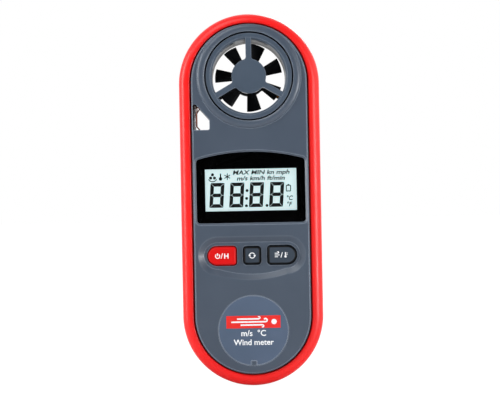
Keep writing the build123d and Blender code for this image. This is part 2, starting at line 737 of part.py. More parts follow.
def driver_chip():
    """Flat chip behind the display."""
    half = CHIP_SIZE / 2
    chip = block(-half, half, BOARD_BACK, BOARD_BACK + CHIP_THICK, DISPLAY_Z - half, DISPLAY_Z + half)
    return chamfer(back_edges(chip), EDGE_BEVEL)


def clock_crystal():
    """Crystal can lying on the board."""
    can = Rot(0, 90, 0) * Cylinder(CRYSTAL_R, CRYSTAL_LENGTH)
    return Pos(-CRYSTAL_X, BOARD_BACK + CRYSTAL_R, DISPLAY_Z - CHIP_SIZE / 2) * can


def board_capacitors():
    """Small chip capacitors in a row on the board."""
    parts = []
    length, width = CAPACITOR
    left = CHIP_SIZE
    for i in range(CAPACITORS):
        z = DISPLAY_Z - CHIP_SIZE / 2 + CAPACITOR_PITCH * i
        parts.append(block(left, left + length, BOARD_BACK, BOARD_BACK + width, z, z + width))
    return Compound(parts)


def switch_housings():
    """The three tact switches' bodies, each with a blind bore for its plunger."""
    bodies = []
    half = SWITCH_SIZE / 2
    for place in (-1, 0, 1):
        x = place * KEY_SPACING
        body = block(x - half, x + half, SWITCH_FRONT, BOARD, KEYS_Z - half, KEYS_Z + half)
        floor = SWITCH_FRONT + PLUNGER_SINK + KEY_TRAVEL + 2 * SLIDE_GAP
        bodies.append(body - rod(PLUNGER_R + SLIDE_GAP, x, KEYS_Z, SWITCH_FRONT, floor))
    return Compound(bodies)


def board_screws():
    """Two screws that hold the board to the front cover's posts."""
    return Compound([
        screw(x, z, BOARD_BACK, BOARD_SCREW_R, BOARD_SCREW_LENGTH, BOARD_HEAD_R, BOARD_HEAD)
        for x, z in BOARD_POSTS
    ])


def case_screws():
    """Four screws that draw the covers together."""
    length = HEAD_SEAT + SCREW_BITE
    return Compound([
        screw(x, z, HEAD_SEAT, SCREW_R, length, SCREW_HEAD_R, SCREW_HEAD) for x, z in SCREWS
    ])


def screw(x, z, seat, radius, length, head_r, head):
    """A pan-head screw whose head rests at a depth and whose shank runs forward."""
    top = rod(head_r, x, z, seat, seat + head)
    top = fillet(back_edges(top), head / 3)
    socket = Pos(x, z) * RegularPolygon(DRIVE_R, 6)
    top -= slab(socket, seat + head - min(DRIVE_DEPTH, head / 2), seat + head)
    return top + rod(radius, x, z, seat - length, seat)


# Keys

def key_cap(place):
    """A key with a flange behind the cover."""
    cap = slab(key_outline(place), KEY_TOP, KEY_BACK)
    cap = fillet(front_edges(cap), KEY_ROUND)
    return cap + slab(key_outline(place, KEY_FLANGE_REACH), FLANGE_FRONT, KEY_BACK)


def plunger(place):
    """The switch plunger that moves with a key."""
    return rod(PLUNGER_R, place * KEY_SPACING, KEYS_Z, KEY_BACK, SWITCH_FRONT + PLUNGER_SINK)


# Label

def label_disc():
    """Thin disc with a notch at its foot, over a key in the cover."""
    return slab(label_outline(), FACE, FACE + LABEL_THICK)


# Battery

def coin_cell():
    """Lithium coin cell, positive can outwards and negative cap inwards."""
    inner = TRAY_OUT + LEAF
    step = inner + CELL_CAP_THICK
    can = rod(CELL_R, 0, CELL_Z, step, inner + CELL_THICK)
    can = chamfer(back_edges(can), EDGE_BEVEL)
    return can + rod(CELL_R - CELL_CAP_STEP, 0, CELL_Z, inner, step)


def positive_slot():
    """Outline of the positive contact's slot at the top of the well."""
    low = CELL_Z + CELL_R
    high = low + LEAF + SLIDE_GAP
    width = LEAF_WIDTH + 2 * SLIDE_GAP
    return Pos(0, (low - TRAY_GAP + high) / 2) * Rectangle(width, high - low + TRAY_GAP)


def negative_slot():
    """Outline of the slot that the negative contact's tail passes through."""
    width = LEAF_WIDTH + 2 * SLIDE_GAP
    return Pos(0, CELL_Z - CELL_R / 2) * Rectangle(width, LEAF + 2 * SLIDE_GAP)


def positive_contact():
    """Spring sheet that stands beside the cell's rim, soldered to the board."""
    low = CELL_Z + CELL_R
    half = LEAF_WIDTH / 2
    return block(-half, half, BOARD_BACK, TRAY_OUT + CELL_THICK, low, low + LEAF)


def negative_contact():
    """Spring sheet under the cell, with a tail through the tray's floor to the board."""
    half = LEAF_WIDTH / 2
    low = CELL_Z - CELL_R / 2 - LEAF / 2
    leaf = block(-half, half, TRAY_OUT, TRAY_OUT + LEAF, low, CELL_Z + CELL_R / 2)
    return leaf + block(-half, half, BOARD_BACK, TRAY_OUT + LEAF, low, low + LEAF)


def battery_door():
    """Flush door that swings about its lower outer edge, with two hooks under the rear wall."""
    door = slab(door_outline(), DOOR_SEAT, BACK)
    for side in (-1, 1):
        low_x = side * HOOK_X - HOOK_WIDTH / 2
        high_x = low_x + HOOK_WIDTH
        front = BACK - HOOK_DROP - HOOK_THICK
        foot = DOOR_LOW + DOOR_GAP
        door += block(low_x, high_x, front, DOOR_SEAT, foot, DOOR_LOW + DOOR_LEDGE - DOOR_GAP)
        door += block(low_x, high_x, front, BACK - HOOK_DROP, DOOR_LOW - HOOK_REACH, foot)
    return door


PIECES = {
    "red_frame": red_frame(),
    "front_cover": front_cover(),
    "rear_cover": rear_cover(),
    "front_guard": guard_half(-1),
    "rear_guard": guard_half(1),
    "front_bearing": bearing(-1),
    "rear_bearing": bearing(1),
    "vane_rotor": vane_rotor(),
    "rotor_shaft": rotor_shaft(),
    "rotor_magnet": rotor_magnet(),
    "hall_sensor": sensor_solid(),
    "sensor_flex": sensor_flex(),
    "strap_post": post_solid(),
    "thermistor_bead": thermistor_bead(),
    "thermistor_leads": leads_solid(LEAD_R),
    "display_window": display_window(),
    "window_mask": window_mask(),
    "lcd_front_glass": glass_block(GLASS_FRONT, GLASS_MIDDLE, GLASS_LEDGE),
    "lcd_rear_glass": glass_block(GLASS_MIDDLE, GLASS_BACK, 0),
    "lcd_reflector": glass_block(GLASS_BACK, GUIDE_FRONT, 0),
    "light_guide": glass_block(GUIDE_FRONT, GUIDE_BACK, 0),
    "lcd_frame": lcd_frame(),
    "zebra_strip": zebra_strip(),
    "main_board": main_board(),
    "driver_chip": driver_chip(),
    "clock_crystal": clock_crystal(),
    "board_capacitors": board_capacitors(),
    "switch_housings": switch_housings(),
    "board_screws": board_screws(),
    "case_screws": case_screws(),
    "power_key": key_cap(-1),
    "unit_key": key_cap(0),
    "mode_key": key_cap(1),
    "power_plunger": plunger(-1),
    "unit_plunger": plunger(0),
    "mode_plunger": plunger(1),
    "label_disc": label_disc(),
    "coin_cell": coin_cell(),
    "positive_contact": positive_contact(),
    "negative_contact": negative_contact(),
    "battery_door": battery_door(),
}

os.makedirs("parts", exist_ok=True)
for name, piece in PIECES.items():
    export_step(piece, f"parts/{name}.step")
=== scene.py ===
import json
from math import pi, radians

import bpy
import numpy as np
from mathutils import Matrix, Vector


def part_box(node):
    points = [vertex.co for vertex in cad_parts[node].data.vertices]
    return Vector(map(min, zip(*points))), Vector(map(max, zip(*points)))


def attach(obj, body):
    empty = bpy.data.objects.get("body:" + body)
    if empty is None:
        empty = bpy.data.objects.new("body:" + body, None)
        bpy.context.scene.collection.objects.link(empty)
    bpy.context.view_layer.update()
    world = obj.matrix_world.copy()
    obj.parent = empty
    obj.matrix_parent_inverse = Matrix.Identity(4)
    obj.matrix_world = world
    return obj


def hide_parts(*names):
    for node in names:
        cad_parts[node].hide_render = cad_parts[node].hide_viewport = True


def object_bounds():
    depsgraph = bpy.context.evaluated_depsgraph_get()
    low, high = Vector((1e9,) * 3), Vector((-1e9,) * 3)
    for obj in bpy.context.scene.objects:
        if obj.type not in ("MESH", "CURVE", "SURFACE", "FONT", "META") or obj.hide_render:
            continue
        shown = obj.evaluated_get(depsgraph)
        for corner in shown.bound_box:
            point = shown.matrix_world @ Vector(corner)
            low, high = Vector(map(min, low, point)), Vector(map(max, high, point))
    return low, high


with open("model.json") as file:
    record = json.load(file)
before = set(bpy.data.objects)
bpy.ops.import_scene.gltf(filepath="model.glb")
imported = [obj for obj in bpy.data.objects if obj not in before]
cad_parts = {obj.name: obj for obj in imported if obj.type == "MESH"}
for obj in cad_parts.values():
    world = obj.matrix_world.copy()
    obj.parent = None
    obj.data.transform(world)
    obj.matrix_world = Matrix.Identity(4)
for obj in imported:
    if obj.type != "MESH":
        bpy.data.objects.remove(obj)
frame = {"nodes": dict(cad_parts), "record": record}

# Handheld weather meter: looks for the moulded casing, the vane, the display, the keys and the label.

MM = 0.001
cad_low, cad_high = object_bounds()

SEAM = 0.35 * MM         # open seam between the red frame and the grey shells
PRINT = 0.02 * MM        # thickness of ink and display segments
CAPITAL = 0.72           # height of the built-in face's capitals, of its size
AROUND = 96              # steps round each end of the casing


# Node trees

FIRST_COLOUR, SECOND_COLOUR, MIXED = 6, 7, 2      # sockets of a Mix node that mixes colours
SOFT = {"Roughness": 0.55}                        # noise that keeps some of its fine detail
MOST = {"From Min": 0.35, "From Max": 0.65}       # span in which most of a noise lies
BEVEL_RAYS = 4
CLOUD = 14 * MM          # cloudiness of a moulded colour
SMEAR = 5 * MM           # patches of uneven gloss
PATCH = 3 * MM           # patches of tarnish on small metal parts
FINGER = 6 * MM          # finger marks on clear sheets
EDGE_HIGHLIGHT_REACH = 0.35 * MM   # width of the painted edge highlight
SHARP, FLAT = 0.96, 1.0  # cosine between the flat and the averaged normal on a sharp edge and on a flat (mask of the painted edge highlight)
TURNED, FACING = 0.94, 0.995                      # cosine to the front on a shoulder and on a top (mask of the painted shoulder shade)
DRAWN_OUT = 0.05         # scale along Z of the streaks on metal, twenty times as long as wide
STREAK_DEPTH = 0.004 * MM
MIRROR_BLEND, MIRROR = 0.35, 0.75                 # how early a clear sheet turns mirror, and how much of it


def linear(code):
    """Linear RGBA of an sRGB hex code."""
    srgb = np.array([int(code[i:i + 2], 16) for i in (1, 3, 5)]) / 255
    rgb = np.where(srgb <= 0.04045, srgb / 12.92, ((srgb + 0.055) / 1.055) ** 2.4)
    return (*rgb.tolist(), 1.0)


def add(tree, kind, settings=None, links=None):
    """Adds a node of one kind; settings are its own values or its sockets', links are what feeds its sockets."""
    node = tree.nodes.new("ShaderNode" + kind)
    for name, value in (settings or {}).items():
        if isinstance(name, str) and hasattr(node, name):
            setattr(node, name, value)
        else:
            node.inputs[name].default_value = value
    for name, source in (links or {}).items():
        tree.links.new(source, node.inputs[name])
    return node


def start(name, settings):
    """A material with a Principled shader; gives its tree, its shader and the Object coordinates."""
    material = bpy.data.materials.new(name)
    material.use_nodes = True
    tree = material.node_tree
    tree.nodes.clear()
    shader = add(tree, "BsdfPrincipled", settings)
    add(tree, "OutputMaterial", links={"Surface": shader.outputs[0]})
    return material, tree, shader, add(tree, "TexCoord").outputs["Object"]


def painted_edge_highlight(tree, colour, code, reach, strength):
    """Painted highlight: lightens a colour where the surface turns sharply within a reach, as if its edges caught
    the light; the flat normal there differs from the one that is averaged over the reach."""
    rounded = add(tree, "Bevel", {"samples": BEVEL_RAYS, "Radius": reach}).outputs[0]
    flat = add(tree, "NewGeometry").outputs["Normal"]
    along = add(tree, "VectorMath", {"operation": "DOT_PRODUCT"}, {0: rounded, 1: flat}).outputs["Value"]
    edge = add(tree, "MapRange", {"From Min": SHARP, "From Max": FLAT, "To Min": strength, "To Max": 0.0},
               {"Value": along})
    return add(tree, "Mix", {"data_type": "RGBA", SECOND_COLOUR: linear(code)},
               {0: edge.outputs[0], FIRST_COLOUR: colour}).outputs[MIXED]


def painted_shoulder_shade(tree, colour, code):
    """Painted shade: turns a colour into another, darker one where the surface no longer faces the front."""
    normal = add(tree, "TexCoord").outputs["Normal"]
    facing = add(tree, "VectorMath", {"operation": "DOT_PRODUCT", 1: (0, -1, 0)}, {0: normal}).outputs["Value"]
    turned = add(tree, "MapRange", {"From Min": TURNED, "From Max": FACING, "To Min": 1.0, "To Max": 0.0},
                 {"Value": facing})
    return add(tree, "Mix", {"data_type": "RGBA", SECOND_COLOUR: linear(code)},
               {0: turned.outputs[0], FIRST_COLOUR: colour}).outputs[MIXED]


def moulded(name, codes, gloss, grain, depth, edge=None, highlight_share=0.55, shoulder=None, rounding=0.0,
            **settings):
    """Moulded plastic: a cloudy colour between two codes, uneven gloss between two roughnesses, and a fine
    grain of one size and depth; its edges may get a painted highlight, its shoulders painted shade, and its
    corners rounded."""
    material, tree, shader, place = start(name, settings)
    cloud = add(tree, "TexNoise", {**SOFT, "Scale": 1 / CLOUD, "Detail": 3.0}, {"Vector": place})
    share = add(tree, "MapRange", {**MOST, "To Min": 0.0, "To Max": 1.0}, {"Value": cloud.outputs[0]})
    blend = {"data_type": "RGBA", FIRST_COLOUR: linear(codes[0]), SECOND_COLOUR: linear(codes[1])}
    colour = add(tree, "Mix", blend, {0: share.outputs[0]}).outputs[MIXED]
    if edge:
        # painted highlight: a lighter colour along sharp edges, standing in for the light they catch
        colour = painted_edge_highlight(tree, colour, edge, EDGE_HIGHLIGHT_REACH, highlight_share)
    if shoulder:
        # painted shade: a darker colour on shoulders that turn away from the front
        colour = painted_shoulder_shade(tree, colour, shoulder)
    tree.links.new(colour, shader.inputs["Base Color"])
    smear = add(tree, "TexNoise", {**SOFT, "Scale": 1 / SMEAR, "Detail": 4.0}, {"Vector": place})
    dull = add(tree, "MapRange", {**MOST, "To Min": gloss[0], "To Max": gloss[1]}, {"Value": smear.outputs[0]})
    tree.links.new(dull.outputs[0], shader.inputs["Roughness"])
    fine = add(tree, "TexNoise", {**SOFT, "Scale": 1 / grain, "Detail": 3.0}, {"Vector": place})
    bump = add(tree, "Bump", {"Strength": 1.0, "Distance": depth}, {"Height": fine.outputs[0]})
    if rounding:
        soft = add(tree, "Bevel", {"samples": BEVEL_RAYS, "Radius": rounding})
        tree.links.new(soft.outputs[0], bump.inputs["Normal"])
    tree.links.new(bump.outputs[0], shader.inputs["Normal"])
    return material


def metal(name, codes, gloss, streak, **settings):
    """Metal drawn or rolled along Z: its gloss runs in streaks of one width."""
    material, tree, shader, place = start(name, {"Metallic": 1.0, **settings})
    patch = add(tree, "TexNoise", {**SOFT, "Scale": 1 / PATCH, "Detail": 2.0}, {"Vector": place})
    share = add(tree, "MapRange", {**MOST, "To Min": 0.0, "To Max": 1.0}, {"Value": patch.outputs[0]})
    blend = {"data_type": "RGBA", FIRST_COLOUR: linear(codes[0]), SECOND_COLOUR: linear(codes[1])}
    colour = add(tree, "Mix", blend, {0: share.outputs[0]})
    tree.links.new(colour.outputs[MIXED], shader.inputs["Base Color"])
    drawn = add(tree, "Mapping", {"Scale": (1.0, 1.0, DRAWN_OUT)}, {"Vector": place})
    lines = add(tree, "TexNoise", {**SOFT, "Scale": 1 / streak, "Detail": 3.0}, {"Vector": drawn.outputs[0]})
    dull = add(tree, "MapRange", {**MOST, "To Min": gloss[0], "To Max": gloss[1]}, {"Value": lines.outputs[0]})
    tree.links.new(dull.outputs[0], shader.inputs["Roughness"])
    bump = add(tree, "Bump", {"Strength": 0.6, "Distance": STREAK_DEPTH}, {"Height": lines.outputs[0]})
    tree.links.new(bump.outputs[0], shader.inputs["Normal"])
    return material


def clear(name, code, seen, gloss):
    """Clear sheet: see-through face on but for a share that is seen, and more of a mirror towards grazing
    sight."""
    material, tree, shader, place = start(name, {"Base Color": linear(code), "IOR": 1.49})
    facing = add(tree, "LayerWeight", {"Blend": MIRROR_BLEND}).outputs["Fresnel"]
    solid = add(tree, "MapRange", {"From Min": 0.0, "From Max": 1.0, "To Min": seen, "To Max": MIRROR},
                {"Value": facing})
    tree.links.new(solid.outputs[0], shader.inputs["Alpha"])
    smear = add(tree, "TexNoise", {**SOFT, "Scale": 1 / FINGER, "Detail": 4.0}, {"Vector": place})
    dull = add(tree, "MapRange", {**MOST, "To Min": gloss[0], "To Max": gloss[1]}, {"Value": smear.outputs[0]})
    tree.links.new(dull.outputs[0], shader.inputs["Roughness"])
    return material


MATERIALS = {
    # Semi-gloss ABS, dyed red: deep even red with a faint orange peel
    "red_plastic": moulded("red_gloss_abs", ("#ee0b0a", "#f5100d"), (0.30, 0.36), 0.6 * MM, 0.002 * MM,
                           IOR=1.50),
    # Finely textured ABS: slate grey, semi-gloss, with a painted highlight along its edges; grain drawn at 0.2 mm
    # so it shows
    "grey_plastic": moulded("slate_textured_abs", ("#404b5a", "#444f5e"), (0.29, 0.32), 0.2 * MM, 0.003 * MM,
                            edge="#8b97a6", highlight_share=0.75, rounding=0.15 * MM, IOR=1.53),
    # The same ABS with a finer texture on the vane guard: a trace bluer, with a fainter painted edge highlight
    "guard_plastic": moulded("guard_textured_abs", ("#3d4a59", "#435060"), (0.30, 0.34), 0.15 * MM, 0.003 * MM,
                             edge="#7b8592", rounding=0.15 * MM, IOR=1.53),
    # Black ABS of the rear guard; its near black is partly painted shade, for the shade the rear spokes lie in
    # behind the front guard
    "black_plastic": moulded("black_abs_and_painted_shade", ("#141518", "#1b1c20"), (0.38, 0.5), 0.15 * MM, 0.004 * MM,
                             rounding=0.1 * MM, IOR=1.53),
    # Black acetal impeller: waxy, almost without texture
    "rotor_plastic": moulded("black_acetal", ("#0c0c0e", "#131316"), (0.32, 0.42), 0.3 * MM, 0.002 * MM,
                             rounding=0.12 * MM, IOR=1.48),
    # Printed border bonded behind the pane: even black with no gloss of its own
    "mask_ink": moulded("black_pane_ink", ("#010102", "#030304"), (0.5, 0.6), 0.1 * MM, 0.001 * MM,
                        **{"Specular IOR Level": 0.02}),
    # Dyed silicone of the power key: saturated red, soft gloss
    "red_key": moulded("red_silicone", ("#cc0507", "#d5090a"), (0.36, 0.46), 0.12 * MM, 0.002 * MM,
                       rounding=0.1 * MM, **{"Specular IOR Level": 0.2}),
    # Dark silicone of the other keys: slate on top, with painted shade that turns the shoulders near black where
    # they face away from the front
    "dark_key": moulded("dark_silicone", ("#313a45", "#38424e"), (0.42, 0.52), 0.12 * MM, 0.003 * MM,
                        shoulder="#040506", rounding=0.1 * MM, **{"Specular IOR Level": 0.2}),
    # Printed polycarbonate label: blue-grey with a silky fine grain, and a painted highlight along its edge
    "label_film": moulded("blue_grey_label_film", ("#47586f", "#4c5d76"), (0.34, 0.42), 0.12 * MM, 0.002 * MM,
                          edge="#b5bdc8", IOR=1.58),
    # White carrier moulding round the display stack
    "carrier_plastic": moulded("white_abs", ("#d8d8d2", "#e2e2dc"), (0.4, 0.5), 0.3 * MM, 0.003 * MM),
    # Reflective film: pale cyan-green of the display's ground, with a painted glow of its own emission standing in
    # for the light it sends back
    "reflector_film": moulded("display_reflector_painted_glow", ("#e4f0f0", "#eaf5f5"), (0.5, 0.6), 0.1 * MM, 0.001 * MM,
                              **{"Emission Color": linear("#dcf9fb"), "Emission Strength": 0.85}),
    # Layered silicone contact strip
    "contact_rubber": moulded("contact_silicone", ("#5a5a5c", "#707072"), (0.5, 0.7), 0.1 * MM, 0.004 * MM),
    # Green solder mask on glass laminate
    "board_laminate": moulded("green_solder_mask", ("#0e5a2a", "#136b33"), (0.25, 0.4), 0.25 * MM, 0.004 * MM,
                              **{"Coat Weight": 0.3}),
    # Epoxy of chips and switches
    "chip_plastic": moulded("black_epoxy", ("#1a1a1c", "#242427"), (0.45, 0.6), 0.1 * MM, 0.004 * MM),
    # Fired ceramic of the small capacitors
    "capacitor_ceramic": moulded("brown_ceramic", ("#8a6a4c", "#a07e5c"), (0.4, 0.55), 0.1 * MM, 0.002 * MM),
    # Nylon plungers of the switches, dyed grey: satin, as moulded
    "plunger_plastic": moulded("grey_nylon", ("#5a5a5c", "#666669"), (0.4, 0.5), 0.2 * MM, 0.002 * MM),
    # Polyimide strip: translucent amber over copper
    "flex_film": moulded("amber_polyimide", ("#b5701c", "#c98428"), (0.2, 0.32), 0.4 * MM, 0.002 * MM),
    # Fused glass bead of the thermistor: dark and glossy
    "bead_glass": moulded("dark_glass", ("#2a2422", "#3b322e"), (0.05, 0.12), 0.5 * MM, 0.001 * MM, IOR=1.52),
    # Stainless pins and shafts, ground
    "steel": metal("ground_steel", ("#b3aeb0", "#c4c0c2"), (0.22, 0.36), 0.08 * MM),
    # Enamelled copper wire: reddish brown with a lacquer gloss
    "copper_lead": metal("enamelled_copper", ("#7c3f2e", "#94513c"), (0.25, 0.4), 0.1 * MM),
    # Sintered bronze bushes
    "bronze": metal("sintered_bronze", ("#b0783c", "#c48c4c"), (0.35, 0.5), 0.1 * MM),
    # Nickel-plated magnet
    "magnet": metal("nickel_plate", ("#a8a59c", "#b8b5ac"), (0.2, 0.32), 0.1 * MM),
    # Black-oxide screw steel
    "screw_steel": metal("black_oxide_steel", ("#3a3a3d", "#4a4a4e"), (0.35, 0.5), 0.08 * MM),
    # Rolled stainless can of the coin cell
    "cell_steel": metal("rolled_stainless", ("#c6c6c4", "#d4d4d2"), (0.25, 0.38), 0.1 * MM),
    # Nickel-plated spring sheet of the contacts
    "contact_sheet": metal("nickel_spring_sheet", ("#b9b5a4", "#c9c5b6"), (0.25, 0.38), 0.1 * MM),
    # Cast acrylic pane: clear and glossy with faint finger marks
    "window_acrylic": clear("clear_acrylic", "#0b0d0e", 0.035, (0.03, 0.07)),
    # Float glass of the display: clear, glossy, with a faint cool tint
    "lcd_glass": clear("display_glass", "#1c2423", 0.03, (0.03, 0.06)),
    # Frosted acrylic guide of the backlight
    "guide_acrylic": moulded("frosted_acrylic", ("#e3efec", "#edf7f4"), (0.5, 0.6), 0.1 * MM, 0.002 * MM),
}

# White screen print of the key legends and the label
WHITE_INK = moulded("white_screen_ink", ("#eef1f3", "#f8fafb"), (0.45, 0.55), 0.08 * MM, 0.002 * MM)
# Red screen print of the label's block
RED_INK = moulded("red_screen_ink", ("#e01a14", "#ea231b"), (0.4, 0.5), 0.08 * MM, 0.002 * MM)
# Switched liquid-crystal segments: near black with a trace of green
SEGMENT = moulded("dark_crystal_segment", ("#050808", "#080b0b"), (0.5, 0.6), 0.1 * MM, 0.001 * MM)


def dress_cad_nodes():
    """Gives each CAD node the finish of its slot in the record."""
    for part in frame["record"]["subparts"]:
        node = frame["nodes"][part["node"]]
        node.data.materials.clear()
        node.data.materials.append(MATERIALS[part["material_slot"]])


# Meshes

def settle(name, mesh, body):
    """Makes a mesh an object that rides on a body."""
    made = bpy.data.objects.new(name, mesh)
    bpy.context.scene.collection.objects.link(made)
    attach(made, body)
    return made


def piece(name, points, faces, material, body, smooth=None):
    """A mesh piece from points and faces; smooth is the largest angle that is shaded round."""
    mesh = bpy.data.meshes.new(name)
    mesh.from_pydata(points.tolist(), [], faces)
    mesh.materials.append(material)
    if smooth is not None:
        mesh.shade_smooth()
        mesh.set_sharp_from_angle(angle=radians(smooth))
    mesh.update()
    return settle(name, mesh, body)


def grid_faces(rows, columns):
    """Quads of a grid that closes on itself both ways."""
    i, j = np.meshgrid(np.arange(rows), np.arange(columns), indexing="ij")
    k, m = (i + 1) % rows, (j + 1) % columns
    corners = [i * columns + j, i * columns + m, k * columns + m, k * columns + j]
    return np.stack(corners, -1).reshape(-1, 4).tolist()


def corner(centre, radius, start_angle, end_angle, steps):
    """Points of an arc in (out, depth): centre plus radius times cosine and sine of the angle."""
    turn = np.radians(np.linspace(start_angle, end_angle, steps))
    return np.stack([centre[0] + radius * np.cos(turn), centre[1] + radius * np.sin(turn)], -1)


def around_casing(profile, low, high, lift):
    """Carries a profile round the casing: a point stands its first number out from the middle line, on half
    circles at both ends joined by straights, at its second number in depth; each point's lift raises the
    centre of its top half circle."""
    half = (high.x - low.x) / 2
    ends = np.array([low.z + half, high.z - half])
    turn = np.linspace(0, pi, AROUND)
    side = np.linspace(0, 1, AROUND // 4)[1:-1]
    middle_z = np.concatenate([
        np.full(AROUND, ends[1]), ends[1] + (ends[0] - ends[1]) * side,
        np.full(AROUND, ends[0]), ends[0] + (ends[1] - ends[0]) * side,
    ])
    angle = np.concatenate([turn, np.full(len(side), pi), turn + pi, np.full(len(side), 2 * pi)])
    out = profile[None, :, 0]
    x = out * np.cos(angle)[:, None]
    share = (middle_z - ends[0]) / (ends[1] - ends[0])
    z = middle_z[:, None] + out * np.sin(angle)[:, None] + share[:, None] * lift[None, :]
    y = np.broadcast_to(profile[None, :, 1], x.shape)
    return np.stack([x, y, z], -1).reshape(-1, 3), grid_faces(len(angle), len(profile))


SIDE_STEPS, EDGE_STEPS, NIB_STEPS = 14, 18, 6     # points along the frame's side and its large and small arcs
HAIR = 1e-9              # slack when two lengths are compared


def red_frame():
    """Red frame: its outer edges are wide round arcs, its side is slightly crowned, its inner edges are
    small arcs, and a rib stands in from the middle of its inner wall."""
    low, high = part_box("red_frame")
    outer = high.x
    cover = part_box("front_cover")[1]
    inner = cover.x + SEAM
    rise = (cover.z - cover.x) - (high.z - high.x)
    front, back = low.y, high.y
    edge, nib, crown = 2.3 * MM, 0.45 * MM, 0.12 * MM
    rib, reach = 0.98 * MM, 1.2 * MM
    depth = np.linspace(front + edge, back - edge, SIDE_STEPS)[1:-1]
    bulge = 1 - ((depth - (front + back) / 2) / (back - front) * 2) ** 2
    side = np.stack([outer - crown + crown * bulge, depth], -1)
    shoulder = outer - crown - edge
    profile = np.concatenate([
        corner((inner + nib, front + nib), nib, 180, 270, NIB_STEPS),
        corner((shoulder, front + edge), edge, 270, 360, EDGE_STEPS),
        side,
        corner((shoulder, back - edge), edge, 0, 90, EDGE_STEPS),
        corner((inner + nib, back - nib), nib, 90, 180, NIB_STEPS),
        [(inner, rib), (inner - reach, rib), (inner - reach, -rib), (inner, -rib)],
    ])
    lift = np.where(profile[:, 0] <= inner + nib + HAIR, rise, 0.0)
    points, faces = around_casing(profile, low, high, lift)
    made = piece("red_frame_skin", points, faces, MATERIALS["red_plastic"], "housing", smooth=35)
    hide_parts("red_frame")


# Flat print: every mark is a thin plate that faces the front, drawn in millimetres across and up from a middle

def plates(name, outlines, middle, front, material, body):
    """Thin plates: each outline, turned anticlockwise, stands at a front and a back depth, with a quad from each
    of its edges to the same edge behind."""
    points, faces, first = [], [], 0
    for outline in outlines:
        x, z = (np.array(middle) + MM * np.asarray(outline)).T
        if np.sum(x * np.roll(z, -1) - np.roll(x, -1) * z) < 0:
            x, z = x[::-1], z[::-1]
        near = first + np.arange(len(x))
        far = near + len(x)
        points += [np.stack([x, np.full(len(x), depth), z], -1) for depth in (front, front + PRINT)]
        faces += [near.tolist(), far[::-1].tolist()]
        faces += np.stack([np.roll(near, -1), near, far, np.roll(far, -1)], -1).tolist()
        first += 2 * len(x)
    return piece(name, np.concatenate(points), faces, material, body)


def bar(x0, z0, x1, z1, width):
    """A straight stroke with square ends: both ends plus and minus half the width across."""
    a, b = np.array([x0, z0]), np.array([x1, z1])
    along = (b - a) / np.linalg.norm(b - a) * width / 2
    across = np.array([-along[1], along[0]])
    return np.array([a - across, b - across, b + across, a + across])


def band(x, z, radius, width, start_angle, end_angle, steps=28):
    """A stroke along an arc: the radius plus half the width one way, and less half of it back."""
    outer = corner((x, z), radius + width / 2, start_angle, end_angle, steps)
    inner = corner((x, z), radius - width / 2, end_angle, start_angle, steps)
    return np.concatenate([outer, inner])


def dot(x, z, radius, steps=24):
    """A round spot."""
    return corner((x, z), radius, 0, 360, steps + 1)[:-1]


def lettering(name, text, x, z, height, middle, front, material, body, weight, slant=0.0, squeeze=1.0):
    """Words in the built-in face, made a mesh and stood up to face the front; x and z are where their middle
    lies, and weight thickens every stroke."""
    curve = bpy.data.curves.new(name, "FONT")
    curve.body = text
    curve.size = height * MM / CAPITAL
    curve.align_x = "CENTER"
    curve.offset = weight * MM
    curve.shear = slant
    curve.extrude = PRINT / 2
    curve.resolution_u = 4
    holder = bpy.data.objects.new(name + "_curve", curve)
    bpy.context.scene.collection.objects.link(holder)
    bpy.context.view_layer.update()
    mesh = bpy.data.meshes.new_from_object(holder.evaluated_get(bpy.context.evaluated_depsgraph_get()))
    bpy.data.objects.remove(holder)
    across, up = middle[0] + x * MM, middle[1] + (z - height / 2) * MM
    mesh.transform(Matrix(((squeeze, 0, 0, across), (0, 0, -1, front + PRINT / 2), (0, 1, 0, up), (0, 0, 0, 1))))
    mesh.name = name
    mesh.materials.clear()
    mesh.materials.append(material)
    return settle(name, mesh, body)


# Display

DIGIT_WIDTH, DIGIT_HEIGHT, STROKE = 3.95, 7.0, 1.02
DIGIT_GAP = 0.05         # gap between neighbouring segments
LEAN = 0.07              # lean of the digits to the right
DIGITS_X = (-9.61, -4.01, 1.56, 7.24)             # middle of each digit from the middle of the display
DIGITS_Z = -1.42         # the same, up
SIGNS_Z = 3.8            # row of small signs
POINT_R = 0.42           # decimal point and colon
FILM_INSET = 0.05        # film inside the edge of the glass
WORD_WEIGHT, WORD_SLANT = 0.045, 0.2              # thickening and slant of the unit words


def digit(x, z):
    """Seven segments of one digit, leaning to the right: mitred bars at the top and bottom, a middle bar with
    pointed ends, and four uprights mitred at the corners and cut back at the middle."""
    w, h, t, gap = DIGIT_WIDTH / 2, DIGIT_HEIGHT / 2, STROKE, DIGIT_GAP
    end_bar = np.array([(-w + gap, h), (w - gap, h), (w - t - gap, h - t), (-w + t + gap, h - t)])
    middle = np.array([(-w + t / 2 + gap, 0), (-w + t + gap, -t / 2), (w - t - gap, -t / 2), (w - t / 2 - gap, 0),
                       (w - t - gap, t / 2), (-w + t + gap, t / 2)])
    upright = np.array([(w, h - gap), (w, gap), (w - t / 2, gap), (w - t, t / 2 + gap), (w - t, h - t - gap)])
    shapes = [end_bar, end_bar * (1, -1), middle]
    shapes += [upright * (side, end) for side in (-1, 1) for end in (-1, 1)]
    lean = np.array([[1, 0], [LEAN, 1]])
    return [shape @ lean + (x, z) for shape in shapes]


